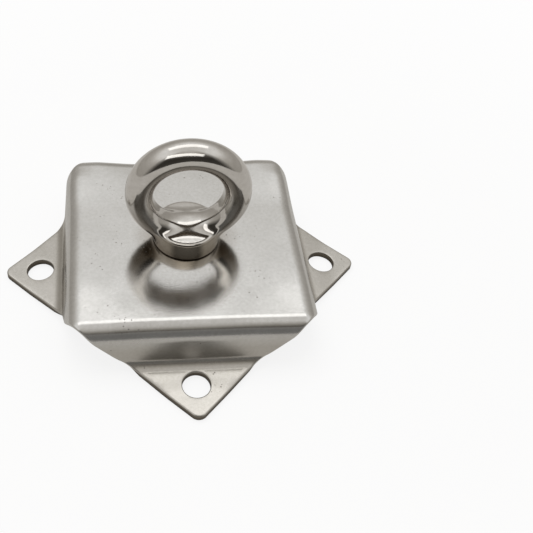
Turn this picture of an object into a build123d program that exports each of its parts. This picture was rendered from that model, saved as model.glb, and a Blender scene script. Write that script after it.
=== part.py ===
from build123d import *
from math import atan, cos, degrees, radians, sin, sqrt
import os

# Deck and ceiling eye plate: a pressed square plate on four flat feet, with a lifting eye bolted through it.
# All sizes in millimetres. Origin on the mounting surface, on the axis of the eye, +Z up through the ring.
# The feet point along +X, +Y, -X and -Y, and the ring stands in the XZ plane.

# Pressed plate
blank_side = 137.0
sheet = 3.0
platform_height = 23.5
slope_angle = 82.0
crest_inner_radius = 5.0
crest_setback = 2.5
foot_inner_radius = 4.5
tip_radius = 4.0
hole_to_tip = 16.8
anchor_hole = 12.0
shank_hole = 13.0

# Lifting eye
ring_outer = 54.0
ring_inner = 30.0
band_width = 5.5
collar_foot = 30.0
collar_rim = 28.0
collar_height = 9.0
collar_rim_bevel = 0.5
saddle_rise = 1.8
opening_rise = 2.0
shank_diameter = 12.0
shank_length = 20.5
shank_point = 1.0

# Fastening under the platform
washer_outer = 24.0
washer_inner = 13.0
washer_thickness = 2.5
spring_wire = 4.0
spring_thickness = 2.5
spring_gap = 1.2
spring_slant = 25.0
nut_flats = 19.0
nut_height = 10.0
nut_face_share = 0.95
nut_corner_angle = 30.0
thread_clearance = 0.15

# Fold geometry, along one diagonal of the blank and through the middle of the sheet
half_diagonal = blank_side / sqrt(2)
crest_start = half_diagonal / 2 - crest_setback
bend = radians(slope_angle)
crest_radius = crest_inner_radius + sheet / 2
foot_radius = foot_inner_radius + sheet / 2
drop = platform_height - sheet
slope_length = (drop - (crest_radius + foot_radius) * (1 - cos(bend))) / sin(bend)
slope_start = crest_start + crest_radius * bend
slope_end = slope_start + slope_length
foot_start = slope_end + foot_radius * bend
slope_run = slope_length * cos(bend)
foot_edge = crest_start + (crest_radius + foot_radius) * sin(bend) + slope_run
foot_tip = foot_edge + half_diagonal - foot_start
hole_centre = foot_tip - hole_to_tip
crest_axis = Vector(crest_start, 0, platform_height - sheet - crest_inner_radius)
foot_axis = Vector(foot_edge, 0, sheet + foot_inner_radius)

# Heights of the eye over the mounting surface
rim_height = platform_height + collar_height
saddle_height = rim_height + saddle_rise
throat_height = rim_height + opening_rise


def half_width(along):
    """Half the width of the strip at a distance measured along the flat blank."""
    return half_diagonal - along


def bend_section(axis, radius, angle, along, side):
    """Rectangle across the sheet in a plane through a bend's axis, as wide as the blank is there."""
    outward = Vector(sin(angle), 0, cos(angle)) * side
    middle = axis + outward * radius
    across = Plane(origin=middle, x_dir=(0, 1, 0), z_dir=Vector(0, 1, 0).cross(outward))
    return across * Rectangle(2 * half_width(along), 2 * sheet)


def bend_wedge(axis, radius, start_angle, end_angle, start_along, side, steps=8):
    """Body that follows a bend and narrows with the blank's two edges."""
    sections = []
    for step in range(steps + 1):
        angle = start_angle + (end_angle - start_angle) * step / steps
        along = start_along + radius * abs(angle - start_angle)
        sections.append(bend_section(axis, radius, angle, along, side))
    return loft(sections)


def bend_sector(axis, radius, start_angle, end_angle, side):
    """Bent sheet of even thickness between two angles, wider than the blank."""
    outer = radius + sheet / 2
    inner = radius - sheet / 2
    low = min(start_angle, end_angle)
    high = max(start_angle, end_angle)
    middle = (low + high) / 2

    def at(distance, angle):
        return axis + Vector(sin(angle), 0, cos(angle)) * side * distance

    outline = Wire([
        Edge.make_line(at(inner, low), at(outer, low)),
        Edge.make_three_point_arc(at(outer, low), at(outer, middle), at(outer, high)),
        Edge.make_line(at(outer, high), at(inner, high)),
        Edge.make_three_point_arc(at(inner, high), at(inner, middle), at(inner, low)),
    ])
    return extrude(Face(outline), amount=blank_side, dir=(0, 1, 0), both=True)


def plate_quarter():
    """Quarter of the pressed plate between two diagonals of the platform, with the foot along +X.

    Neighbouring crests begin before the corner of the platform, so they meet there in a short mitre.
    """
    top = make_face(Polyline((0, 0), (crest_start, -crest_start), (crest_start, crest_start), close=True))
    platform = Pos(0, 0, platform_height - sheet) * extrude(top, amount=sheet)

    quarter = make_face(Polyline((0, 0), (foot_edge, -foot_edge), (foot_edge, foot_edge), close=True))
    crest = bend_sector(crest_axis, crest_radius, 0, bend, 1)
    crest &= bend_wedge(crest_axis, crest_radius, 0, bend, crest_start, 1)
    crest &= extrude(quarter, amount=platform_height)

    slope_top = Vector(sin(bend), 0, cos(bend)) * crest_radius + crest_axis
    downhill = Vector(cos(bend), 0, -sin(bend))
    slope_plane = Plane(origin=slope_top, x_dir=downhill, z_dir=(sin(bend), 0, cos(bend)))
    wide = half_width(slope_start)
    narrow = half_width(slope_end)
    outline = Polyline((0, -wide), (slope_length, -narrow), (slope_length, narrow), (0, wide), close=True)
    slope = extrude(slope_plane * make_face(outline), amount=sheet / 2, both=True)

    root = bend_sector(foot_axis, foot_radius, bend, 0, -1)
    root &= bend_wedge(foot_axis, foot_radius, bend, 0, slope_end, -1)

    edge = half_width(foot_start)
    flat = Polyline((foot_edge, -edge), (foot_tip, 0), (foot_edge, edge), close=True)
    foot = extrude(make_face(flat), amount=sheet)
    tip = foot.edges().filter_by(Axis.Z).sort_by(Axis.X)[-1]
    foot = fillet(tip, tip_radius)
    hole = Pos(hole_centre, 0, sheet / 2) * Cylinder(anchor_hole / 2, 2 * sheet)
    return [platform, crest, slope, root, foot - hole]


def pressed_plate():
    """Whole plate, fused from four quarters, with the hole for the eye's shank."""
    pieces = []
    for turn in range(4):
        for piece in plate_quarter():
            pieces.append(Rot(0, 0, 90 * turn) * piece)
    plate = pieces[0].fuse(*pieces[1:])
    return plate - Pos(0, 0, platform_height) * Cylinder(shank_hole / 2, 4 * sheet)


def eye_ring():
    """Closed ring of round bar with a narrow flat band inside, its straight flanks tangent to the bar."""
    middle = (ring_outer + ring_inner) / 4
    bar = (ring_outer - ring_inner) / 4
    inner = ring_inner / 2
    band = band_width / 2
    flank_turn = 2 * atan(band / bar)
    flank_at = middle - bar * cos(flank_turn)
    flank_out = bar * sin(flank_turn)
    sweep_start = degrees(flank_turn) - 180
    around = CenterArc((middle, 0), bar, start_angle=sweep_start, arc_size=-2 * sweep_start)
    back = Line((flank_at, flank_out), (inner, band))
    flat = Line((inner, band), (inner, -band))
    front = Line((inner, -band), (flank_at, -flank_out))
    ring = revolve(Plane.XY * make_face([around, back, flat, front]), Axis((0, 0, 0), (0, 1, 0)), 360)
    return Pos(0, 0, throat_height + ring_inner / 2) * ring


def eye_bolt():
    """Ring, collar and shank forged as one piece, the collar rising into the foot of the ring."""
    ring = split(eye_ring(), Plane.XY.offset(platform_height), keep=Keep.TOP)
    profile = make_face(Polyline(
        (0, platform_height),
        (collar_foot / 2, platform_height),
        (collar_rim / 2, rim_height),
        (0, saddle_height),
        close=True,
    ))
    rim = profile.vertices().filter_by(lambda v: abs(v.X - collar_rim / 2) < 1e-6)
    collar = revolve(Plane.XZ * chamfer(rim, collar_rim_bevel), Axis.Z, 360)
    shank = Pos(0, 0, platform_height - shank_length / 2) * Cylinder(shank_diameter / 2, shank_length)
    shank = chamfer(shank.edges().group_by(Axis.Z)[0], shank_point)
    return ring + collar + shank


def flat_washer(top):
    washer = Cylinder(washer_outer / 2, washer_thickness) - Cylinder(washer_inner / 2, washer_thickness)
    return Pos(0, 0, top - washer_thickness / 2) * washer


def lock_washer(top):
    """Split spring washer, drawn flat by the nut."""
    inner = shank_diameter / 2 + 2 * thread_clearance
    outer = inner + spring_wire
    washer = Cylinder(outer, spring_thickness) - Cylinder(inner, spring_thickness)
    cut = Box(2 * outer, spring_gap, 4 * spring_thickness)
    cut = Pos(outer, 0, 0) * Rot(spring_slant, 0, 0) * cut
    return Pos(0, 0, top - spring_thickness / 2) * (washer - cut)


def hex_nut(top):
    """Hexagon nut with its corners turned off on both faces."""
    nut = extrude(RegularPolygon(nut_flats / 2, 6, major_radius=False), amount=nut_height)
    corner = nut_flats / 2 / cos(radians(30))
    reach = corner - nut_flats / 2 * nut_face_share
    fall = reach * sin(radians(nut_corner_angle)) / cos(radians(nut_corner_angle))
    turned = Polyline(
        (0, 0),
        (corner - reach, 0),
        (corner, fall),
        (corner, nut_height - fall),
        (corner - reach, nut_height),
        (0, nut_height),
        close=True,
    )
    nut &= revolve(Plane.XZ * make_face(turned), Axis.Z, 360)
    bore = shank_diameter / 2 + thread_clearance
    nut -= Pos(0, 0, nut_height / 2) * Cylinder(bore, nut_height)
    return Pos(0, 0, top - nut_height) * nut


under_platform = platform_height - sheet
under_washer = under_platform - washer_thickness
under_spring = under_washer - spring_thickness

os.makedirs("parts", exist_ok=True)
export_step(pressed_plate(), "parts/plate.step")
export_step(eye_bolt(), "parts/eye_bolt.step")
export_step(flat_washer(under_platform), "parts/flat_washer.step")
export_step(lock_washer(under_washer), "parts/lock_washer.step")
export_step(hex_nut(under_spring), "parts/hex_nut.step")
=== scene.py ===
"""Looks of a pressed stainless eye plate: four joggled feet, a polished lifting eye and its fastening.

The sizes are millimetres, as in the part's source, and become metres when a mesh is made.
The frame is the part's own: origin on the mounting surface, on the axis of the eye, +Z up.
"""

import logging
import math
from dataclasses import dataclass
from enum import Enum
from functools import partial
from itertools import product
from typing import Callable, Iterable, Optional, Union

import bpy
import numpy as np
from mathutils import Matrix, Vector
from mathutils.geometry import delaunay_2d_cdt

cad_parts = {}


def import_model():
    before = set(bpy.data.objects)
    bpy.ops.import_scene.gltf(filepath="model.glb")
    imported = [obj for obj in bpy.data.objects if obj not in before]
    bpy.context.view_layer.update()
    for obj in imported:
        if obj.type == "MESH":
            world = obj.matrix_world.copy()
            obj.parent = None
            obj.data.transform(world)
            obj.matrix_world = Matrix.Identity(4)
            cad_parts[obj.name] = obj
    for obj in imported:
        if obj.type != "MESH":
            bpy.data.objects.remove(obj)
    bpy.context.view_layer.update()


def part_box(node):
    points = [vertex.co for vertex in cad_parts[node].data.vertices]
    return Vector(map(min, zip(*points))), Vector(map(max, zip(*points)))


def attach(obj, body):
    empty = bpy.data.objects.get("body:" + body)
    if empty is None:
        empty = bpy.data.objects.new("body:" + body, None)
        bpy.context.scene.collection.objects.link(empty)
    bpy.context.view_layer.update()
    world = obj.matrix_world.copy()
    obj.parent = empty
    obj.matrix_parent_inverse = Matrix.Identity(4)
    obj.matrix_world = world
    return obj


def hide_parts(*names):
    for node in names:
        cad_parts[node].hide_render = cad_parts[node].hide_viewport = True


log = logging.getLogger("eye_plate")

Points = np.ndarray
Field = Callable[[Points], np.ndarray]
Place = tuple[float, float, float]
Colour = tuple[float, float, float]
Range = tuple[float, float]
Socket = bpy.types.NodeSocket
Number = Union[Socket, float]
Tint = Union[Socket, Colour]
Sizes = dict[str, Socket]

MM = 0.001
ONLY_BODY = "root"
WHITE: Colour = (1.0, 1.0, 1.0)
RISING: Range = (0.0, 1.0)
FALLING: Range = (1.0, 0.0)

# Nearly all of a cloudy pattern lies in this range, evenly about the middle
PATTERN_RANGE: Range = (0.35, 0.65)
PATTERN_MIDDLE = 0.5

# Rays that look for nooks at each place
OPEN_SAMPLES = 8

# What the green and the blue of the room's tone lose from white to black
GREEN_LOSS = 0.08
BLUE_LOSS = 0.20


class Slot(Enum):
    """Material slots of the record, one for each kind of piece."""

    PLATE = "plate_steel"
    POLISHED = "polished_steel"
    FASTENER = "fastener_steel"


class Zone(Enum):
    """Parts of a surface that a finish tells apart, three of them for painted shade."""

    # Low parts get painted shade and more roughness
    LOW = "low on the piece"
    UPRIGHT = "upright faces"
    EDGE = "sheared edges"
    # Faces turned down get painted shade
    UNDER_SHADE = "faces turned down"
    # Nooks between faces get painted shade
    NOOK_SHADE = "nooks between faces"


# Node helpers


class NodeSheet:
    """Short way to add and join the nodes of a shader or geometry tree."""

    def __init__(self, tree: bpy.types.NodeTree) -> None:
        """Starts on a tree.

        Args:
            tree: The node tree that the nodes go into.
        """
        self.tree = tree

    def add(self, kind: str, **values: Union[str, int]) -> bpy.types.Node:
        """Adds a node and sets its properties.

        Args:
            kind: Blender's name of the node type.
            values: Properties of the node and their values.

        Returns:
            The new node.
        """
        node = self.tree.nodes.new(kind)
        for name, value in values.items():
            setattr(node, name, value)
        return node

    def feed(self, socket: Socket, value: Union[Number, tuple[float, ...]]) -> None:
        """Joins a socket to another, or sets its value.

        Args:
            socket: The input to feed.
            value: A socket to join, or a plain value.
        """
        if isinstance(value, Socket):
            self.tree.links.new(value, socket)
        else:
            socket.default_value = value

    def math(self, operation: str, *values: Number) -> Socket:
        """Adds one math node.

        Args:
            operation: Name of the operation.
            values: One to three sockets or numbers.

        Returns:
            The node's output.
        """
        node = self.add("ShaderNodeMath", operation=operation)
        for socket, value in zip(node.inputs, values):
            self.feed(socket, value)
        return node.outputs[0]

    def plus(self, first: Number, second: Number) -> Socket:
        """Adds two values."""
        return self.math("ADD", first, second)

    def minus(self, first: Number, second: Number) -> Socket:
        """Takes the second value from the first."""
        return self.math("SUBTRACT", first, second)

    def times(self, first: Number, second: Number) -> Socket:
        """Multiplies two values."""
        return self.math("MULTIPLY", first, second)

    def over(self, first: Number, second: Number) -> Socket:
        """Divides the first value by the second."""
        return self.math("DIVIDE", first, second)

    def limit(self, value: Number, low: Number, high: Number) -> Socket:
        """Keeps a value between two others."""
        return self.math("MINIMUM", self.math("MAXIMUM", value, low), high)

    def split(self, vector: Socket) -> tuple[Socket, Socket, Socket]:
        """Takes a vector apart.

        Args:
            vector: The vector.

        Returns:
            Its x, y and z.
        """
        node = self.add("ShaderNodeSeparateXYZ")
        self.feed(node.inputs[0], vector)
        return node.outputs[0], node.outputs[1], node.outputs[2]

    def join(self, x: Number, y: Number, z: Number) -> Socket:
        """Puts a vector together.

        Args:
            x: Its first coordinate.
            y: Its second coordinate.
            z: Its third coordinate.

        Returns:
            The vector.
        """
        node = self.add("ShaderNodeCombineXYZ")
        for socket, value in zip(node.inputs, (x, y, z)):
            self.feed(socket, value)
        return node.outputs[0]

    def noise(self, place: Socket, size: float, layers: int) -> Socket:
        """Adds a cloudy pattern.

        Args:
            place: Vector that the pattern is laid on.
            size: Size of its patches in millimetres.
            layers: Number of finer layers.

        Returns:
            The pattern's value, about 0 to 1.
        """
        node = self.add("ShaderNodeTexNoise")
        self.feed(node.inputs["Vector"], place)
        node.inputs["Scale"].default_value = 1 / (size * MM)
        node.inputs["Detail"].default_value = layers
        return node.outputs["Fac"]

    def openness(self, reach: float) -> Socket:
        """Measures how open a place is.

        Args:
            reach: Distance in millimetres within which other faces count.

        Returns:
            1 in the open and less in a nook.
        """
        node = self.add("ShaderNodeAmbientOcclusion", samples=OPEN_SAMPLES)
        node.inputs["Distance"].default_value = reach * MM
        return node.outputs["AO"]

    def spread(self, value: Number, given: Range, wanted: Range = RISING) -> Socket:
        """Maps a value from one range to another and holds it there.

        Args:
            value: The value to map.
            given: Start and end of its range.
            wanted: Start and end of the new range.

        Returns:
            The mapped value.
        """
        node = self.add("ShaderNodeMapRange", clamp=True)
        for name, number in zip(("From Min", "From Max", "To Min", "To Max"), (*given, *wanted)):
            node.inputs[name].default_value = number
        self.feed(node.inputs["Value"], value)
        return node.outputs["Result"]

    def blend(self, share: Number, first: Tint, second: Tint, how: str = "MIX") -> Socket:
        """Mixes two colours.

        Args:
            share: Share of the second colour.
            first: First colour or socket.
            second: Second colour or socket.
            how: Blender's name of the way to mix.

        Returns:
            The mixed colour.
        """
        node = self.add("ShaderNodeMix", data_type="RGBA", blend_type=how)
        self.feed(node.inputs[0], share)
        for socket, value in ((node.inputs[6], first), (node.inputs[7], second)):
            self.feed(socket, (*value, 1.0) if isinstance(value, tuple) else value)
        return node.outputs[2]

    def cover(self, share: Number, under: Socket, upper: Socket) -> Socket:
        """Mixes two shaders.

        Args:
            share: Share of the upper shader.
            under: Shader underneath.
            upper: Shader on top.

        Returns:
            The mixed shader.
        """
        node = self.add("ShaderNodeMixShader")
        for socket, value in zip(node.inputs, (share, under, upper)):
            self.feed(socket, value)
        return node.outputs[0]

    def ramp(self, value: Number, stops: list[tuple[float, Colour]]) -> Socket:
        """Runs through a row of colours.

        Args:
            value: Place along the row, 0 to 1.
            stops: Place and colour of each stop, in order.

        Returns:
            The colour at that place.
        """
        node = self.add("ShaderNodeValToRGB")
        node.color_ramp.interpolation = "LINEAR"
        row = node.color_ramp.elements
        while len(row) < len(stops):
            row.new(0.5)
        for stop, (place, colour) in zip(row, stops):
            stop.position = place
            stop.color = (*colour, 1.0)
        self.feed(node.inputs["Fac"], value)
        return node.outputs["Color"]


def new_material(name: str) -> tuple[bpy.types.Material, NodeSheet]:
    """Makes a material without nodes.

    Args:
        name: Name of the material.

    Returns:
        The material and the sheet of its tree.
    """
    material = bpy.data.materials.new(name)
    material.use_nodes = True
    material.node_tree.nodes.clear()
    return material, NodeSheet(material.node_tree)


class GeometryTree(NodeSheet):
    """Geometry node tree with named inputs that ends in Realize Instances and Set Material."""

    def __init__(self, name: str) -> None:
        """Makes an empty tree.

        Args:
            name: The tree's name.
        """
        super().__init__(bpy.data.node_groups.new(name, "GeometryNodeTree"))
        self.source = self.add("NodeGroupInput")
        self.identifiers: dict[str, str] = {}
        self.values: dict[str, float] = {}
        self.entry("Geometry", "NodeSocketGeometry")
        self.tree.interface.new_socket("Geometry", in_out="OUTPUT", socket_type="NodeSocketGeometry")

    def entry(self, name: str, kind: str) -> None:
        """Adds a named input.

        Args:
            name: The input's name.
            kind: Blender's name of the socket type.
        """
        item = self.tree.interface.new_socket(name, in_out="INPUT", socket_type=kind)
        self.identifiers[name] = item.identifier

    def declare(self, lengths: dict[str, float], numbers: dict[str, float]) -> Sizes:
        """Args:
            lengths: Name of each length and its value in millimetres.
            numbers: Name of each angle or plain number and its value.

        Returns:
            The inputs as sockets inside the tree, lengths in metres.
        """
        self.values = {name: length * MM for name, length in lengths.items()} | numbers
        for name in self.values:
            self.entry(name, "NodeSocketFloat")
        return {name: self.source.outputs[name] for name in self.values}

    def position(self) -> tuple[Socket, Socket, Socket]:
        """Reads x, y and z of each point."""
        return self.split(self.add("GeometryNodeInputPosition").outputs[0])

    def move(self, place: Socket) -> Socket:
        """Moves the points of the object that the tree starts from.

        Args:
            place: Where each point goes.

        Returns:
            The moved geometry.
        """
        moved = self.add("GeometryNodeSetPosition")
        self.feed(moved.inputs["Geometry"], self.source.outputs["Geometry"])
        self.feed(moved.inputs["Position"], place)
        return moved.outputs["Geometry"]

    def end(self, geometry: Socket) -> None:
        """Closes the tree with real geometry and the finish.

        Args:
            geometry: The finished geometry.
        """
        self.entry("Finish", "NodeSocketMaterial")
        realize = self.add("GeometryNodeRealizeInstances")
        finish = self.add("GeometryNodeSetMaterial")
        self.feed(realize.inputs["Geometry"], geometry)
        self.feed(finish.inputs["Geometry"], realize.outputs["Geometry"])
        self.feed(finish.inputs["Material"], self.source.outputs["Finish"])
        self.feed(self.add("NodeGroupOutput").inputs["Geometry"], finish.outputs["Geometry"])

    def run(self, name: str, blank: bpy.types.Object, material: bpy.types.Material) -> bpy.types.Object:
        """Runs the tree on an object and keeps the result as a plain mesh.

        Args:
            name: Name of the finished object.
            blank: Object that the tree starts from, removed afterwards.
            material: The piece's finish.

        Returns:
            The finished object.
        """
        modifier = blank.modifiers.new(self.tree.name, "NODES")
        modifier.node_group = self.tree
        for title, value in self.values.items():
            modifier[self.identifiers[title]] = float(value)
        modifier[self.identifiers["Finish"]] = material
        bpy.context.view_layer.update()
        shaped = blank.evaluated_get(bpy.context.evaluated_depsgraph_get())
        mesh = bpy.data.meshes.new_from_object(shaped)
        blank.modifiers.remove(modifier)
        bpy.data.objects.remove(blank)
        mesh.name = name
        piece = bpy.data.objects.new(name, mesh)
        bpy.context.scene.collection.objects.link(piece)
        return piece


# Finishes of the steel


@dataclass(frozen=True)
class Wear:
    """Few small dark pits in loose groups, and faint hairlines that run in two directions.

    Attributes:
        pit_spacing: Distance between the places for a pit in millimetres.
        pit_rim: Shares of that distance between which a pit runs out.
        pit_depth: Depth of a pit in millimetres.
        pit_colour: Colour of a pit's ground.
        group_size: Size of the cloudy pattern that gathers the pits in millimetres.
        group_range: Values of that pattern between which a group begins.
        line_lays: Turn in radians of each direction, and an offset that sets its pattern apart.
        line_length: Length of the hairlines in millimetres.
        line_stretch: Times that their pattern is longer than wide.
        line_width: Half the width of a hairline in values of its pattern.
        line_patch: Size of the patches with hairlines in millimetres, which the offset adds to.
        line_range: Values of the patches' pattern between which a patch begins.
        line_depth: Depth of a hairline in millimetres.
        line_gloss: Roughness that a hairline gains.
    """

    pit_spacing: float = 1.6
    pit_rim: Range = (0.10, 0.20)
    pit_depth: float = 0.05
    pit_colour: Colour = (0.12, 0.10, 0.085)
    group_size: float = 9.0
    group_range: Range = (0.62, 0.69)
    line_lays: tuple[tuple[float, float], ...] = ((0.5, 0.3), (-0.9, 7.1))
    line_length: float = 26.0
    line_stretch: float = 28.0
    line_width: float = 0.012
    line_patch: float = 15.0
    line_range: Range = (0.58, 0.68)
    line_depth: float = 0.0015
    line_gloss: float = 0.05

    def pits(self, sheet: NodeSheet, place: Socket) -> Socket:
        """Lays out the pits.

        Args:
            sheet: The material's node sheet.
            place: Object coordinates.

        Returns:
            1 in a pit and 0 elsewhere.
        """
        cells = sheet.add("ShaderNodeTexVoronoi", feature="F1")
        sheet.feed(cells.inputs["Vector"], place)
        cells.inputs["Scale"].default_value = 1 / (self.pit_spacing * MM)
        near = sheet.spread(cells.outputs["Distance"], self.pit_rim, FALLING)
        groups = sheet.spread(sheet.noise(place, self.group_size, layers=1), self.group_range)
        return sheet.times(near, groups)

    def hairlines(self, sheet: NodeSheet, place: Socket) -> Socket:
        """Lays out the hairlines.

        Args:
            sheet: The material's node sheet.
            place: Object coordinates.

        Returns:
            1 in a hairline and 0 elsewhere.
        """
        total: Number = 0.0
        for turn, offset in self.line_lays:
            lay = sheet.add("ShaderNodeMapping")
            sheet.feed(lay.inputs["Vector"], place)
            lay.inputs["Rotation"].default_value = (0.0, 0.0, turn)
            lay.inputs["Scale"].default_value = (1.0, self.line_stretch, self.line_stretch)
            lay.inputs["Location"].default_value = (offset, offset, 0.0)
            pattern = sheet.noise(lay.outputs["Vector"], self.line_length, layers=1)
            away = sheet.math("ABSOLUTE", sheet.minus(pattern, PATTERN_MIDDLE))
            thin = sheet.spread(away, (0.0, self.line_width), FALLING)
            patches = sheet.noise(place, self.line_patch + offset, layers=1)
            total = sheet.plus(sheet.times(thin, sheet.spread(patches, self.line_range)), total)
        return total

    def mark(
        self, sheet: NodeSheet, place: Socket, colour: Socket, gloss: Socket, height: Socket
    ) -> tuple[Socket, Socket, Socket]:
        """Puts the pits and hairlines into a surface.

        Args:
            sheet: The material's node sheet.
            place: Object coordinates.
            colour: Colour of the clean surface.
            gloss: Its roughness.
            height: Its relief in millimetres.

        Returns:
            Colour, roughness and relief of the marked surface.
        """
        pits = self.pits(sheet, place)
        lines = self.hairlines(sheet, place)
        colour = sheet.blend(pits, colour, self.pit_colour)
        gloss = sheet.plus(gloss, sheet.times(lines, self.line_gloss))
        height = sheet.minus(height, sheet.times(pits, self.pit_depth))
        height = sheet.minus(height, sheet.times(lines, self.line_depth))
        return colour, gloss, height


@dataclass(frozen=True)
class SteelFinish:
    """Stainless steel with cloudy gloss, fine grain in its surface and perhaps a few marks, and, where its
    tones are set, painted shade on its low parts, on faces turned down and in nooks.

    Attributes:
        name: Name of the material.
        light: Brighter tone of the metal.
        dark: Duller tone of the metal.
        gloss: Roughness of its glossiest and of its dullest patches.
        cloud: Size of the patches in millimetres.
        grain: Size of the surface's grain in millimetres.
        grain_depth: Height of the grain in millimetres.
        wave: Size of the slow waves in the surface in millimetres.
        wave_depth: Height of the waves in millimetres.
        wear: Pits and hairlines, if it has any.
        low_shade_tone: Painted shade: tone that the parts low on the piece are dimmed by.
        low_gloss: Roughness that those parts gain.
        low_range: Heights in millimetres between which they fade out.
        side_gloss: Roughness that upright faces gain.
        side_range: Upward or downward part of a face's direction between which it stops being upright.
        edge_tone: Tone that sheared edges are dimmed by.
        edge_range: Heights in millimetres between which upright faces stop being sheared edges.
        nook_shade_tone: Painted shade: tone that nooks between the faces are dimmed by.
        nook_reach: Depth of such nooks in millimetres.
        nook_range: Openness between which a place stops being a nook.
        under_shade_tone: Painted shade: tone that faces turned down are dimmed by.
        under_range: Upward part of a face's direction where it begins to be and where it is turned down.
    """

    name: str
    light: Colour
    dark: Colour
    gloss: Range
    cloud: float
    grain: float
    grain_depth: float
    wave: float
    wave_depth: float
    wear: Optional[Wear] = None
    low_shade_tone: Colour = WHITE
    low_gloss: float = 0.0
    low_range: Range = (0.0, 1.0)
    side_gloss: float = 0.0
    side_range: Range = (0.30, 0.75)
    edge_tone: Colour = WHITE
    edge_range: Range = (0.0, 0.3)
    nook_shade_tone: Colour = WHITE
    nook_reach: float = 10.0
    nook_range: Range = (0.35, 0.95)
    under_shade_tone: Colour = WHITE
    under_range: Range = (0.10, -0.50)

    def zones(self, sheet: NodeSheet, place: Socket) -> dict[Zone, Socket]:
        """Tells the parts of the surface apart.

        Args:
            sheet: The material's node sheet.
            place: Object coordinates.

        Returns:
            Share of each zone, 0 to 1.
        """
        height = sheet.split(place)[2]
        facing = sheet.split(sheet.add("ShaderNodeTexCoord").outputs["Normal"])[2]
        upright = sheet.spread(sheet.math("ABSOLUTE", facing), self.side_range, FALLING)
        low_start, low_end = self.low_range
        edge_start, edge_end = self.edge_range
        at_edge = sheet.spread(height, (edge_start * MM, edge_end * MM), FALLING)
        return {
            Zone.LOW: sheet.spread(height, (low_start * MM, low_end * MM), FALLING),
            Zone.UPRIGHT: upright,
            Zone.EDGE: sheet.times(upright, at_edge),
            # Mask of painted shade on faces turned down
            Zone.UNDER_SHADE: sheet.spread(facing, self.under_range),
            # Mask of painted shade in nooks that occlusion rays find
            Zone.NOOK_SHADE: sheet.spread(sheet.openness(self.nook_reach), self.nook_range, FALLING),
        }

    def metal(self, sheet: NodeSheet, place: Socket, cloud: Socket) -> Socket:
        """Mixes the metal's two tones in clouds and speckles.

        Args:
            sheet: The material's node sheet.
            place: Object coordinates.
            cloud: The cloudy pattern.

        Returns:
            The colour of the clean metal.
        """
        speckle = sheet.noise(place, self.grain * 2, layers=2)
        tone = sheet.spread(sheet.times(sheet.plus(cloud, speckle), 0.5), PATTERN_RANGE)
        return sheet.blend(tone, self.dark, self.light)

    def relief(self, sheet: NodeSheet, place: Socket) -> Socket:
        """Adds up the waves and the grain of the surface.

        Args:
            sheet: The material's node sheet.
            place: Object coordinates.

        Returns:
            The surface's height in millimetres.
        """
        waves = sheet.times(sheet.noise(place, self.wave, layers=1), self.wave_depth)
        return sheet.plus(waves, sheet.times(sheet.noise(place, self.grain, layers=3), self.grain_depth))

    def build(self) -> bpy.types.Material:
        """Makes the material.

        Returns:
            The material, all of it from nodes laid on Object coordinates.
        """
        material, sheet = new_material(self.name)
        place = sheet.add("ShaderNodeTexCoord").outputs["Object"]
        cloud = sheet.noise(place, self.cloud, layers=4)
        colour = self.metal(sheet, place, cloud)
        gloss = sheet.spread(cloud, PATTERN_RANGE, self.gloss)
        height = self.relief(sheet, place)
        if self.wear:
            colour, gloss, height = self.wear.mark(sheet, place, colour, gloss, height)

        zones = self.zones(sheet, place)
        # Painted shade on low parts, faces turned down and nooks; sheared edges take their own duller colour
        tones = {
            Zone.LOW: self.low_shade_tone,
            Zone.EDGE: self.edge_tone,
            Zone.UNDER_SHADE: self.under_shade_tone,
            Zone.NOOK_SHADE: self.nook_shade_tone,
        }
        for zone, tone in tones.items():
            colour = sheet.blend(zones[zone], colour, tone, "MULTIPLY")
        gloss = sheet.plus(gloss, sheet.times(zones[Zone.LOW], self.low_gloss))
        gloss = sheet.plus(gloss, sheet.times(zones[Zone.UPRIGHT], self.side_gloss))

        bump = sheet.add("ShaderNodeBump")
        bump.inputs["Strength"].default_value = 1.0
        bump.inputs["Distance"].default_value = MM
        sheet.feed(bump.inputs["Height"], height)
        shader = sheet.add("ShaderNodeBsdfPrincipled")
        shader.inputs["Metallic"].default_value = 1.0
        sheet.feed(shader.inputs["Base Color"], colour)
        sheet.feed(shader.inputs["Roughness"], gloss)
        sheet.feed(shader.inputs["Normal"], bump.outputs["Normal"])
        sheet.feed(sheet.add("ShaderNodeOutputMaterial").inputs["Surface"], shader.outputs["BSDF"])
        return material


SATIN_PLATE = SteelFinish(
    name="satin_plate_steel",
    light=(0.645, 0.635, 0.615),
    dark=(0.575, 0.565, 0.54),
    gloss=(0.12, 0.17),
    cloud=14.0,
    grain=0.7,
    grain_depth=0.009,
    wave=26.0,
    wave_depth=0.13,
    wear=Wear(),
    # Painted shade on the lower slopes, bends and feet
    low_shade_tone=(0.84, 0.82, 0.785),
    low_gloss=0.07,
    low_range=(12.0, 19.0),
    side_gloss=0.13,
    edge_tone=(0.45, 0.42, 0.38),
    edge_range=(3.1, 3.4),
    # Painted shade in the nooks, such as the feet's roots and round the collar
    nook_shade_tone=(0.72, 0.69, 0.65),
    nook_reach=9.0,
)
POLISHED_EYE = SteelFinish(
    name="polished_eye_steel",
    light=(0.65, 0.63, 0.60),
    dark=(0.57, 0.548, 0.515),
    gloss=(0.07, 0.13),
    cloud=7.0,
    grain=1.0,
    grain_depth=0.009,
    wave=8.0,
    wave_depth=0.03,
    # Painted shade on the collar and what lies lower
    low_shade_tone=(0.80, 0.755, 0.69),
    low_gloss=0.06,
    low_range=(31.0, 32.2),
    # Painted shade in the nooks between ring and collar
    nook_shade_tone=(0.38, 0.35, 0.31),
    nook_reach=16.0,
    # Painted shade on the ring's faces turned down
    under_shade_tone=(0.30, 0.265, 0.225),
)
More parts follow.
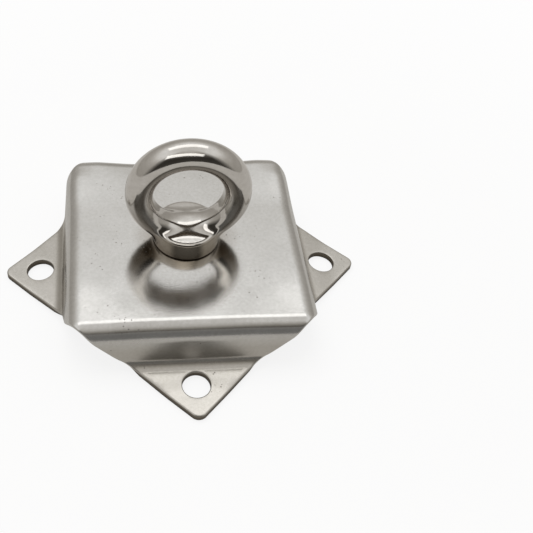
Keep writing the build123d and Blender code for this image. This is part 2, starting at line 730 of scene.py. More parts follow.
FASTENER = SteelFinish(
    name="fastener_steel",
    light=(0.60, 0.59, 0.57),
    dark=(0.54, 0.53, 0.51),
    gloss=(0.24, 0.36),
    cloud=5.0,
    grain=0.6,
    grain_depth=0.006,
    wave=6.0,
    wave_depth=0.01,
)


# Meshes


def add_mesh(name: str, points: Points, faces: list[tuple[int, ...]]) -> bpy.types.Object:
    """Makes an object from points in millimetres.

    Args:
        name: Name of the object.
        points: Rows of x, y and z.
        faces: Corner numbers of each face, turning left as seen from outside.

    Returns:
        The object, linked to the scene, at the origin.
    """
    mesh = bpy.data.meshes.new(name)
    mesh.from_pydata((points * MM).tolist(), [], faces)
    mesh.validate()
    mesh.shade_smooth()
    piece = bpy.data.objects.new(name, mesh)
    bpy.context.scene.collection.objects.link(piece)
    return piece


def dress(piece: bpy.types.Object, material: bpy.types.Material, slot: Slot, *nodes: str) -> None:
    """Gives a piece its finish and puts it in the place of the CAD nodes it stands for.

    Args:
        piece: The visual piece.
        material: Its finish.
        slot: Its material slot; not used.
        nodes: CAD nodes that it replaces.
    """
    piece.data.materials.clear()
    piece.data.materials.append(material)
    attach(piece, ONLY_BODY)
    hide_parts(*nodes)
    log.info("%s stands for %s with %d faces", piece.name, ", ".join(nodes), len(piece.data.polygons))


def soft_union(first: np.ndarray, second: np.ndarray, radius: float) -> np.ndarray:
    """Joins two distance fields with a rounded inner corner.

    Args:
        first: Distances to the first body, negative inside.
        second: Distances to the second body.
        radius: Reach of the rounding in millimetres.

    Returns:
        Distances to the joined body.
    """
    reach = np.maximum(radius - np.abs(first - second), 0) / radius
    return np.minimum(first, second) - reach * reach * radius / 4


def soft_cut(first: np.ndarray, second: np.ndarray, radius: float) -> np.ndarray:
    """Keeps what two distance fields share, with a rounded outer corner.

    Args:
        first: Distances to the first body, negative inside.
        second: Distances to the second body.
        radius: Reach of the rounding in millimetres.

    Returns:
        Distances to the shared body.
    """
    return -soft_union(-first, -second, radius)


@dataclass
class FormedSolid:
    """Body given by a smooth distance field, skinned with an even net of four-sided faces.

    Attributes:
        field: Distance to the body's surface, negative inside.
        low: Lowest corner of the room searched, in millimetres.
        high: Highest corner of the room searched.
        step: Size of the net's faces.
        nudge: Distance over which the field's slope is measured.
        least_slope: Least square of the slope that a step is divided by.
        relax_rounds: Times that the net is evened out.
        relax_share: Share of the way to its neighbours' middle that a point moves each time.
        relax_settles: Steps back to the surface before each of those rounds.
        last_settles: Steps back to the surface after the last round.
    """

    field: Field
    low: Place
    high: Place
    step: float = 0.5
    nudge: float = 1e-3
    least_slope: float = 1e-4
    relax_rounds: int = 4
    relax_share: float = 0.5
    relax_settles: int = 2
    last_settles: int = 5

    def slope(self, points: Points) -> Points:
        """Steepest direction of the field.

        Args:
            points: Rows of x, y and z.

        Returns:
            The gradient at each point.
        """
        columns = []
        for axis in range(3):
            move = np.zeros(3)
            move[axis] = self.nudge
            columns.append((self.field(points + move) - self.field(points - move)) / (2 * self.nudge))
        return np.stack(columns, 1)

    def normals(self, points: Points) -> Points:
        """Directions out of the surface.

        Args:
            points: Rows of x, y and z on the surface.

        Returns:
            A vector of length 1 at each point.
        """
        slope = self.slope(points)
        return slope / np.linalg.norm(slope, axis=1)[:, None]

    def settle(self, points: Points, rounds: int) -> Points:
        """Moves points along the field's slope until they lie on the surface.

        Args:
            points: Rows of x, y and z near the surface.
            rounds: Number of steps.

        Returns:
            The points on the surface.
        """
        for _ in range(rounds):
            slope = self.slope(points)
            share = self.field(points) / np.maximum((slope * slope).sum(1), self.least_slope)
            points = points - slope * np.clip(share, -self.step, self.step)[:, None]
        return points

    def crossings(self, grid: Points, value: np.ndarray, axis: int) -> tuple[np.ndarray, np.ndarray, Points]:
        """Finds where the surface crosses the grid's edges along one axis.

        Args:
            grid: The grid's points.
            value: The field at each of them.
            axis: Number of the axis.

        Returns:
            Whether each edge is crossed, whether it starts inside, and where it is crossed.
        """
        here = [slice(None)] * 3
        there = [slice(None)] * 3
        here[axis] = slice(0, -1)
        there[axis] = slice(1, None)
        near, far = value[tuple(here)], value[tuple(there)]
        start, end = grid[tuple(here)], grid[tuple(there)]
        crossed = (near < 0) != (far < 0)
        share = np.where(crossed, near / np.where(crossed, near - far, 1), 0)
        return crossed, near < 0, start + share[..., None] * (end - start)

    def join_cells(
        self, number: np.ndarray, crossed: np.ndarray, outward: np.ndarray, axis: int
    ) -> np.ndarray:
        """Joins the points of the four cells around each crossed edge of one axis.

        Args:
            number: Number of the point in each cell.
            crossed: Whether each edge is crossed.
            outward: Whether it starts inside the body.
            axis: Number of the axis.

        Returns:
            Corner numbers of the faces.
        """
        first, second = (axis + 1) % 3, (axis + 2) % 3
        spots = np.argwhere(crossed)
        inner = (spots[:, first] > 0) & (spots[:, second] > 0)
        inner &= (spots[:, first] < number.shape[first]) & (spots[:, second] < number.shape[second])
        spots = spots[inner]
        corners = []
        for back_first, back_second in ((1, 1), (0, 1), (0, 0), (1, 0)):
            cell = spots.copy()
            cell[:, first] -= back_first
            cell[:, second] -= back_second
            corners.append(number[tuple(cell.T)])
        quads = np.stack(corners, 1)
        return np.where(outward[tuple(spots.T)][:, None], quads, quads[:, ::-1])

    def net(self) -> tuple[Points, np.ndarray]:
        """Finds one point in each cell that the surface crosses and joins neighbours.

        Returns:
            The points and the corner numbers of the faces.
        """
        lines = [np.arange(a - self.step, b + 2 * self.step, self.step) for a, b in zip(self.low, self.high)]
        grid = np.stack(np.meshgrid(*lines, indexing="ij"), -1)
        value = self.field(grid.reshape(-1, 3)).reshape(grid.shape[:3])
        cells = tuple(n - 1 for n in value.shape)
        total = np.zeros((*cells, 3))
        count = np.zeros(cells)
        found = [self.crossings(grid, value, axis) for axis in range(3)]
        for axis, (crossed, _, place) in enumerate(found):
            others = [n for n in range(3) if n != axis]
            for backs in product((0, 1), repeat=2):
                edge = [slice(None)] * 3
                for other, back in zip(others, backs):
                    edge[other] = slice(back, back + cells[other])
                mask = crossed[tuple(edge)]
                total += place[tuple(edge)] * mask[..., None]
                count += mask
        used = count > 0
        number = np.full(cells, -1)
        number[used] = np.arange(int(used.sum()))
        faces = [self.join_cells(number, found[axis][0], found[axis][1], axis) for axis in range(3)]
        return total[used] / count[used][:, None], np.concatenate(faces)

    def relax(self, points: Points, faces: np.ndarray) -> Points:
        """Evens out the net along the surface.

        Args:
            points: The net's points.
            faces: The net's faces.

        Returns:
            The moved points.
        """
        total = np.zeros_like(points)
        count = np.zeros(len(points))
        for turn in range(4):
            start, end = faces[:, turn], faces[:, (turn + 1) % 4]
            for here, there in ((start, end), (end, start)):
                np.add.at(total, here, points[there])
                np.add.at(count, here, 1)
        mean = total / np.maximum(count, 1)[:, None]
        normal = self.normals(points)
        move = (mean - points) * self.relax_share
        return points + move - normal * (move * normal).sum(1)[:, None]

    def build(self, name: str) -> bpy.types.Object:
        """Makes the body's mesh with the field's own normals.

        Args:
            name: Name of the object.

        Returns:
            The object.
        """
        points, faces = self.net()
        for _ in range(self.relax_rounds):
            points = self.relax(self.settle(points, self.relax_settles), faces)
        points = self.settle(points, self.last_settles)
        piece = add_mesh(name, points, faces.tolist())
        piece.data.normals_split_custom_set_from_vertices(self.normals(points).tolist())
        return piece


# The pressed plate


@dataclass
class PressedPlate:
    """Square sheet, turned by an eighth, whose four corners are pressed down and out into feet.

    Attributes:
        material: Finish of the plate.
        blank_side: Side of the flat blank.
        sheet: Thickness of the sheet.
        height: Height of the platform's upper face.
        slope_angle: Angle of the slopes in degrees.
        crest_inner_radius: Inner radius of the bends beside the platform.
        crest_setback: Distance along a diagonal that these bends begin before the platform's corners.
        foot_inner_radius: Inner radius of the bends beside the feet.
        tip_radius: Radius of the blank's corners.
        hole_to_tip: Distance of a foot's hole from the blank's corner, before that is rounded.
        foot_hole: Diameter of the holes in the feet.
        shank_hole: Diameter of the hole in the middle.
        back_lift: Height that the platform is drawn up by towards its back corners.
        front_lift: The same towards its front corners, below zero for down.
        lift_reach: Distance from a corner at which that lift has run out.
        corner_fall: Height that the back corners themselves are drawn down by again.
        fall_reach: Distance from a corner at which that fall has run out.
        root_rise: Height that each foot swells by beside its bend.
        root_before: Distance from the swelling's top to the start of the flat foot.
        root_reach: Distance towards the tip at which the swelling has run out.
        root_steepness: Times that it runs out sooner towards the platform.
        top_round: Radius of the outer edge at the upper face.
        under_round: Radius of the outer edge at the lower face; the holes have half of it.
        hole_round: Radius of the holes' edges at the upper face.
        flat_step: Size of the net in the middle of the platform; other flat parts have half of it.
        bend_step: Size of the net in the bends.
        edge_step: Distance between points along the outer edge.
        fine_width: Width of the finer net on the platform beside the bends.
        crest_margins: Distances before and after a crest's bend that have its net.
        foot_margins: The same for a foot's bend.
        side_clear: Least distance along a diagonal from the sides' rounding to the net's points.
        tip_clear: Least distance from a tip's rounding to them.
        hole_clear: Least distance from a hole's rounding to them.
        tip_points: Points around each tip.
        hole_points: Points around each hole.
        top_points: Points across an edge's upper rounding.
        under_points: Points across its lower rounding.
        tolerance: Distance below which two points of the tiling are one.
    """

    material: bpy.types.Material
    blank_side: float = 137.0
    sheet: float = 3.0
    height: float = 23.5
    slope_angle: float = 82.0
    crest_inner_radius: float = 5.0
    crest_setback: float = 2.5
    foot_inner_radius: float = 4.5
    tip_radius: float = 4.0
    hole_to_tip: float = 16.8
    foot_hole: float = 12.0
    shank_hole: float = 13.0
    back_lift: float = 2.0
    front_lift: float = -0.6
    lift_reach: float = 30.0
    corner_fall: float = 0.7
    fall_reach: float = 11.0
    root_rise: float = 1.1
    root_before: float = 3.0
    root_reach: float = 15.0
    root_steepness: float = 1.8
    top_round: float = 0.8
    under_round: float = 0.4
    hole_round: float = 0.5
    flat_step: float = 2.2
    bend_step: float = 0.38
    edge_step: float = 0.8
    fine_width: float = 20.0
    crest_margins: Range = (1.0, 0.4)
    foot_margins: Range = (0.4, 0.8)
    side_clear: float = 0.55
    tip_clear: float = 0.4
    hole_clear: float = 0.5
    tip_points: int = 13
    hole_points: int = 72
    top_points: int = 8
    under_points: int = 6
    tolerance: float = 1e-7

    def __post_init__(self) -> None:
        """Works out the fold along one diagonal of the blank, through the middle of the sheet."""
        self.half_diagonal = self.blank_side / math.sqrt(2)
        self.tip_centre = self.half_diagonal - self.tip_radius * math.sqrt(2)
        self.crest_start = self.half_diagonal / 2 - self.crest_setback
        self.bend = math.radians(self.slope_angle)
        self.crest_radius = self.crest_inner_radius + self.sheet / 2
        self.foot_radius = self.foot_inner_radius + self.sheet / 2
        radii = self.crest_radius + self.foot_radius
        drop = self.height - self.sheet
        self.slope_length = (drop - radii * (1 - math.cos(self.bend))) / math.sin(self.bend)
        self.slope_start = self.crest_start + self.crest_radius * self.bend
        self.slope_end = self.slope_start + self.slope_length
        self.foot_start = self.slope_end + self.foot_radius * self.bend

    def outline(self, inset: float) -> Points:
        """Edge of the flat blank.

        Args:
            inset: Distance inside the real edge.

        Returns:
            Points in turn around the blank.
        """
        arc = np.radians(np.linspace(-45, 45, self.tip_points))
        side = self.blank_side - 2 * self.tip_radius
        steps = np.linspace(0, 1, int(side / self.edge_step))[1:-1, None]
        corners = []
        for quarter in range(4):
            towards = quarter * math.pi / 2
            turn = arc + towards
            middle = self.tip_centre * np.array([math.cos(towards), math.sin(towards)])
            corners.append(middle + (self.tip_radius - inset) * np.stack([np.cos(turn), np.sin(turn)], 1))
        rows = []
        for quarter in range(4):
            start, end = corners[quarter][-1], corners[(quarter + 1) % 4][0]
            rows.append(corners[quarter])
            rows.append(start + (end - start) * steps)
        return np.concatenate(rows)

    def hole(self, centre: tuple[float, float], diameter: float, inset: float) -> Points:
        """Edge of a round hole.

        Args:
            centre: Middle of the hole in the flat blank.
            diameter: Its diameter.
            inset: Distance into the sheet from the hole's wall.

        Returns:
            Points in turn around the hole, so that the sheet lies to their left.
        """
        turn = np.linspace(0, -2 * math.pi, self.hole_points, endpoint=False)
        return np.array(centre) + (diameter / 2 + inset) * np.stack([np.cos(turn), np.sin(turn)], 1)

    def rim(self, round_top: float, round_under: float) -> list[tuple[float, float]]:
        """Section of a sheared and tumbled edge.

        Args:
            round_top: Radius at the upper face.
            round_under: Radius at the lower face.

        Returns:
            Distance from the edge and height in the sheet, from the upper face to the lower.
        """
        half = self.sheet / 2
        section = []
        for turn in np.linspace(0, math.pi / 2, self.top_points):
            section.append((round_top * (1 - math.sin(turn)), half - round_top * (1 - math.cos(turn))))
        for turn in np.linspace(0, math.pi / 2, self.under_points):
            section.append((round_under * (1 - math.cos(turn)), round_under * (1 - math.sin(turn)) - half))
        section.append((round_top, -half))
        return section

    def lines(self) -> np.ndarray:
        """Grid lines of the flat blank, close together where it bends.

        Returns:
            Coordinates of the lines on both sides of the middle.
        """
        stops = (
            (self.crest_start - self.fine_width, self.flat_step),
            (self.crest_start - self.crest_margins[0], self.flat_step / 2),
            (self.slope_start + self.crest_margins[1], self.bend_step),
            (self.slope_end - self.foot_margins[0], self.flat_step / 2),
            (self.foot_start + self.foot_margins[1], self.bend_step),
            (self.half_diagonal, self.flat_step / 2),
        )
        rows = []
        start = 0.0
        for end, step in stops:
            rows.append(np.linspace(start, end, max(2, round((end - start) / step)), endpoint=False))
            start = end
        half = np.concatenate(rows)
        return np.concatenate([-half[:0:-1], half])

    def holes(self) -> list[tuple[tuple[float, float], float]]:
        """Holes of the flat blank.

        Returns:
            Middle and diameter of each.
        """
        away = self.half_diagonal - self.hole_to_tip
        places = [(away, 0.0), (0.0, away), (-away, 0.0), (0.0, -away)]
        return [(place, self.foot_hole) for place in places] + [((0.0, 0.0), self.shank_hole)]

    def off_holes(self, points: Points, margin: float) -> np.ndarray:
        """Tests points against the holes.

        Args:
            points: Points in the plane of the blank.
            margin: Least distance from a hole's wall.

        Returns:
            True where a point is further than that from every hole.
        """
        clear = np.full(len(points), True)
        for centre, diameter in self.holes():
            clear &= np.linalg.norm(points - np.array(centre), axis=1) > diameter / 2 + margin
        return clear

    def off_edge(self, points: Points) -> np.ndarray:
        """Tests points against the outer edge and its rounded tips.

        Args:
            points: Points in the plane of the blank.

        Returns:
            True where a point is well inside.
        """
        side = self.half_diagonal - self.top_round * math.sqrt(2) - self.side_clear
        along = np.abs(points).max(1) - self.tip_centre
        across = np.abs(points).min(1)
        in_tip = np.hypot(along, across) < self.tip_radius - self.top_round - self.tip_clear
        return (np.abs(points).sum(1) < side) & ((along < across) | in_tip)

    def tile(self, loops: list[Points]) -> tuple[Points, list[tuple[int, ...]]]:
        """Fills the blank's face between its outline and its holes.

        Args:
            loops: The outline, then the holes.

        Returns:
            Points in the plane, those of the loops first, and triangles that turn left.
        """
        lines = self.lines()
        grid = np.stack(np.meshgrid(lines, lines, indexing="ij"), -1).reshape(-1, 2)
        keep = self.off_edge(grid) & self.off_holes(grid, self.hole_round + self.hole_clear)
        plan = np.concatenate([*loops, grid[keep]])
        bounds = []
        start = 0
        for ring in loops:
            size = len(ring)
            bounds += [(start + n, start + (n + 1) % size) for n in range(size)]
            start += size
        inside_bounds = 1
        found, _, triangles, sources, _, _ = delaunay_2d_cdt(
            [Vector(p) for p in plan], bounds, [], inside_bounds, self.tolerance
        )
        origin = [source[0] for source in sources]
        middles = np.array([np.mean([found[n] for n in t], 0) for t in triangles])
        kept = []
        for triangle, sound in zip(triangles, self.off_holes(middles, self.hole_round)):
            if sound:
                corners = tuple(origin[n] for n in triangle)
                a, b, c = (plan[n] for n in corners)
                turn = (b[0] - a[0]) * (c[1] - a[1]) - (b[1] - a[1]) * (c[0] - a[0])
                kept.append(corners if turn > 0 else corners[::-1])
        return plan, kept

    def blank(self) -> bpy.types.Object:
        """Makes the flat blank, with its edges rounded and its holes cut.

        Returns:
            The blank, its sheet lying on both sides of the zero plane.
        """
        hole_rim = self.rim(self.hole_round, self.under_round / 2)
        edges = [(self.outline, self.rim(self.top_round, self.under_round))]
        edges += [(partial(self.hole, centre, diameter), hole_rim) for centre, diameter in self.holes()]
        loops = [loop(section[0][0]) for loop, section in edges]
        plan, triangles = self.tile(loops)
        half = self.sheet / 2
        points = [np.column_stack([plan, np.full(len(plan), level)]) for level in (half, -half)]
        faces = list(triangles)
        faces += [tuple(len(plan) + n for n in triangle[::-1]) for triangle in triangles]
        total = 2 * len(plan)
        start = 0
        for (loop, section), ring in zip(edges, loops):
            size = len(ring)
            upper = np.arange(start, start + size)
            start += size
            rows = [upper]
            for inset, level in section[1:-1]:
                points.append(np.column_stack([loop(inset), np.full(size, level)]))
                rows.append(np.arange(total, total + size))
                total += size
            rows.append(upper + len(plan))
            for above, below in zip(rows[:-1], rows[1:]):
                for n in range(size):
                    after = (n + 1) % size
                    faces.append((above[n], below[n], below[after], above[after]))
        faces = [tuple(int(n) for n in face) for face in faces]
        return add_mesh("flat_blank", np.concatenate(points), faces)

    def fold_axis(self, tree: GeometryTree, sizes: Sizes, place: Socket) -> tuple[Socket, Socket, Socket]:
        """Adds the nodes that fold the sheet along one diagonal.

        Args:
            tree: The tree to build in.
            sizes: The tree's inputs.
            place: Coordinate along the diagonal, from the middle of the blank.

        Returns:
            The distance run, the fall and the sheet's slope there.
        """
        bend, crest_radius, foot_radius = sizes["Bend"], sizes["Crest Radius"], sizes["Foot Radius"]
        along = tree.math("ABSOLUTE", place)
        crest = tree.limit(tree.over(tree.minus(along, sizes["Crest Start"]), crest_radius), 0.0, bend)
        straight = tree.limit(tree.minus(along, sizes["Slope Start"]), 0.0, sizes["Slope Length"])
        slope_end = tree.plus(sizes["Slope Start"], sizes["Slope Length"])
        foot = tree.limit(tree.over(tree.minus(along, slope_end), foot_radius), 0.0, bend)
        foot_start = tree.plus(slope_end, tree.times(foot_radius, bend))
        beyond = tree.math("MAXIMUM", tree.minus(along, foot_start), 0.0)
        slope = tree.minus(bend, foot)
        sine = tree.math("SINE", bend)
        cosine = tree.math("COSINE", bend)

        run = tree.math("MINIMUM", along, sizes["Crest Start"])
        run = tree.plus(run, tree.times(crest_radius, tree.math("SINE", crest)))
        run = tree.plus(run, tree.times(straight, cosine))
        run = tree.plus(run, tree.times(foot_radius, tree.minus(sine, tree.math("SINE", slope))))
        run = tree.plus(run, beyond)

        fall = tree.times(crest_radius, tree.minus(1.0, tree.math("COSINE", crest)))
        fall = tree.plus(fall, tree.times(straight, sine))
        fall = tree.plus(fall, tree.times(foot_radius, tree.minus(tree.math("COSINE", slope), cosine)))
        return run, fall, tree.minus(crest, foot)

    def beside(self, tree: GeometryTree, place: Socket, middle: Socket) -> Socket:
        """Adds the nodes of a distance, positive towards the tip, from a place on both halves."""
        return tree.minus(tree.math("ABSOLUTE", place), middle)

    def swelling(self, tree: GeometryTree, away: tuple[Socket, ...], height: Socket, reach: Socket) -> Socket:
        """Adds the nodes of a soft swelling, such as that of a platform's corner or a foot's root.

        Args:
            tree: The tree to build in.
            away: Distances from its highest place along one or both diagonals.
            height: Its height.
            reach: Distance at which it has run out.

        Returns:
            The height to add.
        """
        total = height
        for distance in away:
            share = tree.over(distance, reach)
            rise = tree.math("MAXIMUM", tree.minus(1.0, tree.times(share, share)), 0.0)
            total = tree.times(total, tree.times(rise, rise))
        return total

    def drawn(self, tree: GeometryTree, sizes: Sizes, x: Socket, y: Socket) -> Socket:
        """Adds the nodes of what the pressing draws up or down at the platform's corners and the feet.

        Args:
            tree: The tree to build in.
            sizes: The tree's inputs.
            x: Coordinate along the first diagonal.
            y: Coordinate along the second diagonal.

        Returns:
            The height to add to the folded sheet.
        """
        at_back = tree.math("GREATER_THAN", y, 0.0)
        at_front = tree.minus(1.0, at_back)
        lift = tree.plus(tree.times(sizes["Back Lift"], at_back), tree.times(sizes["Front Lift"], at_front))
        fall = tree.times(sizes["Corner Fall"], at_back)
        corner = (self.beside(tree, x, sizes["Corner Place"]), self.beside(tree, y, sizes["Corner Place"]))
        total = self.swelling(tree, corner, lift, sizes["Lift Reach"])
        total = tree.minus(total, self.swelling(tree, corner, fall, sizes["Fall Reach"]))
        for diagonal in (x, y):
            away = self.beside(tree, diagonal, sizes["Root Place"])
            inward = tree.times(away, tree.times(sizes["Root Steepness"], -1.0))
            away = tree.math("MAXIMUM", away, inward)
            total = tree.plus(total, self.swelling(tree, (away,), sizes["Root Rise"], sizes["Root Reach"]))
        return total

    def fold_tree(self) -> GeometryTree:
        """Builds the tree that presses the flat blank into shape.

        Returns:
            The tree, with its sizes as named inputs in metres and radians.
        """
        lengths = {
            "Crest Start": self.crest_start,
            "Crest Radius": self.crest_radius,
            "Foot Radius": self.foot_radius,
            "Slope Start": self.slope_start,
            "Slope Length": self.slope_length,
            "Middle Height": self.height - self.sheet / 2,
            "Corner Place": self.half_diagonal / 2,
            "Back Lift": self.back_lift,
            "Front Lift": self.front_lift,
            "Lift Reach": self.lift_reach,
            "Corner Fall": self.corner_fall,
            "Fall Reach": self.fall_reach,
            "Root Place": self.foot_start - self.root_before,
            "Root Rise": self.root_rise,
            "Root Reach": self.root_reach,
        }
        tree = GeometryTree("Press Four Feet")
        sizes = tree.declare(lengths, {"Bend": self.bend, "Root Steepness": self.root_steepness})
        x, y, depth = tree.position()
        run_x, fall_x, slope_x = self.fold_axis(tree, sizes, x)
        run_y, fall_y, slope_y = self.fold_axis(tree, sizes, y)
        out_x = tree.plus(run_x, tree.times(depth, tree.math("SINE", slope_x)))
        out_y = tree.plus(run_y, tree.times(depth, tree.math("SINE", slope_y)))
        upright = tree.times(tree.math("COSINE", slope_x), tree.math("COSINE", slope_y))
        level = tree.minus(sizes["Middle Height"], tree.plus(fall_x, fall_y))
        level = tree.plus(level, self.drawn(tree, sizes, x, y))
        place = tree.join(
            tree.times(out_x, tree.math("SIGN", x)),
            tree.times(out_y, tree.math("SIGN", y)),
            tree.plus(level, tree.times(depth, upright)),
        )
        tree.end(tree.move(place))
        return tree

    def build(self) -> bpy.types.Object:
        """Makes and dresses the plate.

        Returns:
            The finished plate.
        """
        plate = self.fold_tree().run("pressed_plate", self.blank(), self.material)
        dress(plate, self.material, Slot.PLATE, "plate")
        return plate


# The lifting eye


@dataclass
class LiftingEye:
    """Forged and polished ring on a collar, with a threaded shank through the plate.

    Attributes:
        material: Finish of the eye.
        seat: Height of the platform that the collar stands on.
        ring_outer: Outer diameter of the ring.
        ring_inner: Diameter of its opening.
        ring_depth: Depth of its bar from front to back.
        band_width: Width of the flat band inside the opening.
        collar_foot: Diameter of the collar at the platform.
        collar_rim: Diameter of the collar at its top.
        collar_height: Height of the collar's wall.
        saddle_rise: Height of the collar's middle over its rim.
        opening_rise: Height of the opening's lowest place over the rim.
        saddle_reach: Reach of the rounding between ring and collar.
        rim_round: Radius of the collar's upper edge.
        foot_round: Radius of its lower edge.
        band_round: Radius of the band's edges.
        shank_diameter: Diameter over the thread.
        shank_length: Length of the shank under the collar.
        head_gap: Distance between the thread's top and the collar.
        thread_pitch: Height of one turn of the thread.
        thread_depth: Depth of its groove.
        thread_steepness: Fall of a flank over one whole pitch, in depths of the groove.
        crest_share: Share of the groove's depth by which the flanks are cut off at the crests.
        point_share: Share of the groove's depth that the radius of the shank's end is less by.
        turn_steps: Faces around the shank.
        pitch_rows: Rows of faces in one turn of the thread.
        end_rows: Rows of faces across the shank's end.
        merge_distance: Distance in metres below which two points of the shank are one.
    """

    material: bpy.types.Material
    seat: float = 23.5
    ring_outer: float = 54.0
    ring_inner: float = 30.0
    ring_depth: float = 13.6
    band_width: float = 3.4
    collar_foot: float = 30.0
    collar_rim: float = 28.0
    collar_height: float = 8.5
    saddle_rise: float = 0.6
    opening_rise: float = 2.5
    saddle_reach: float = 3.6
    rim_round: float = 0.8
    foot_round: float = 0.5
    band_round: float = 0.35
    shank_diameter: float = 12.0
    shank_length: float = 20.5
    head_gap: float = 0.2
    thread_pitch: float = 1.75
    thread_depth: float = 0.95
    thread_steepness: float = 2.6
    crest_share: float = 0.25
    point_share: float = 1.1
    turn_steps: int = 64
    pitch_rows: int = 12
    end_rows: int = 6
    merge_distance: float = 1e-6

    @property
    def ring_centre(self) -> float:
        """Height of the ring's middle."""
        return self.seat + self.collar_height + self.opening_rise + self.ring_inner / 2

    def head(self, points: Points) -> np.ndarray:
        """Distance field of the ring and collar.

        Args:
            points: Rows of x, y and z in millimetres.

        Returns:
            Distance to the surface at each point, negative inside.
        """
        x, y, z = points.T
        middle = (self.ring_outer + self.ring_inner) / 4
        bar = (self.ring_outer - self.ring_inner) / 4
        half = self.ring_depth / 2
        inner_bar = bar / math.sqrt(1 - (self.band_width / self.ring_depth) ** 2)
        away = np.hypot(x, z - self.ring_centre) - middle
        outer = np.hypot(away / bar, y / half)
        inner = np.hypot(away / inner_bar, y / half)
        ring = (np.where(away > 0, outer, inner) - 1) * bar

        radius = np.hypot(x, y)
        up = z - self.seat
        wall = self.collar_foot / 2 - (self.collar_foot - self.collar_rim) / 2 * up / self.collar_height
        dome = np.maximum(1 - (2 * radius / self.collar_rim) ** 2, 0)
        saddle = self.collar_height + self.saddle_rise * dome
        collar = soft_cut(radius - wall, up - saddle, 2 * self.rim_round)
        body = soft_union(ring, collar, self.saddle_reach)
        body = soft_cut(body, -away - bar, 2 * self.band_round)
        return soft_cut(body, -up, 2 * self.foot_round)

    def thread_tree(self) -> GeometryTree:
        """Builds the tree that wraps a flat grid into the threaded shank.

        Returns:
            The tree, with its sizes as named inputs.
        """
        lengths = {
            "Shank Radius": self.shank_diameter / 2,
            "Thread Pitch": self.thread_pitch,
            "Thread Depth": self.thread_depth,
            "Shank End": self.seat - self.shank_length,
        }
        shares = {
            "Thread Steepness": self.thread_steepness,
            "Crest Share": self.crest_share,
            "Point Share": self.point_share,
        }
        tree = GeometryTree("Roll Shank Thread")
        sizes = tree.declare(lengths, shares)
        radius, groove = sizes["Shank Radius"], sizes["Thread Depth"]
        turn, along, _ = tree.position()
        lead = tree.minus(tree.over(along, sizes["Thread Pitch"]), tree.over(turn, 2 * math.pi))
        zigzag = tree.times(tree.math("PINGPONG", lead, 0.5), sizes["Thread Steepness"])
        flank = tree.limit(tree.minus(zigzag, sizes["Crest Share"]), 0.0, 1.0)
        thread = tree.minus(radius, tree.times(groove, flank))
        start = tree.minus(radius, tree.times(groove, sizes["Point Share"]))
        point = tree.math("MAXIMUM", tree.plus(start, along), 0.0)
        reach = tree.math("MINIMUM", thread, point)
        place = tree.join(
            tree.times(reach, tree.math("COSINE", turn)),
            tree.times(reach, tree.math("SINE", turn)),
            tree.plus(sizes["Shank End"], tree.math("MAXIMUM", along, 0.0)),
        )
        joined = tree.add("GeometryNodeMergeByDistance")
        tree.feed(joined.inputs["Geometry"], tree.move(place))
        joined.inputs["Distance"].default_value = self.merge_distance
        tree.end(joined.outputs["Geometry"])
        return tree

    def thread_blank(self) -> bpy.types.Object:
        """Makes the flat grid that the thread is rolled from: turn along x, height along y.

        Returns:
            The grid.
        """
        top = self.shank_length - self.head_gap
        rows = np.concatenate([
            np.linspace(-self.shank_diameter / 2, 0, self.end_rows, endpoint=False),
            np.linspace(0, top, int(top / self.thread_pitch * self.pitch_rows)),
        ])
        turns = np.linspace(0, 2 * math.pi, self.turn_steps + 1)
        across, up = np.meshgrid(turns / MM, rows, indexing="ij")
        points = np.stack([across.ravel(), up.ravel(), np.zeros(across.size)], 1)
        tall = len(rows)
        faces = []
        for turn in range(self.turn_steps):
            for row in range(tall - 1):
                corner = turn * tall + row
                faces.append((corner, corner + tall, corner + tall + 1, corner + 1))
        return add_mesh("thread_blank", points, faces)

    def build(self) -> list[bpy.types.Object]:
        """Makes the head and the shank and dresses them.

        Returns:
            The finished head and shank.
        """
        half = self.ring_outer / 2
        wide = self.collar_foot / 2
        low = (-half, -wide, self.seat)
        high = (half, wide, self.ring_centre + half)
        head = FormedSolid(self.head, low, high).build("eye_head")
        shank = self.thread_tree().run("eye_shank", self.thread_blank(), self.material)
        shank.data.shade_smooth()
        dress(head, self.material, Slot.POLISHED, "eye_bolt")
        dress(shank, self.material, Slot.POLISHED, "eye_bolt")
        return [head, shank]


# The fastening under the plate


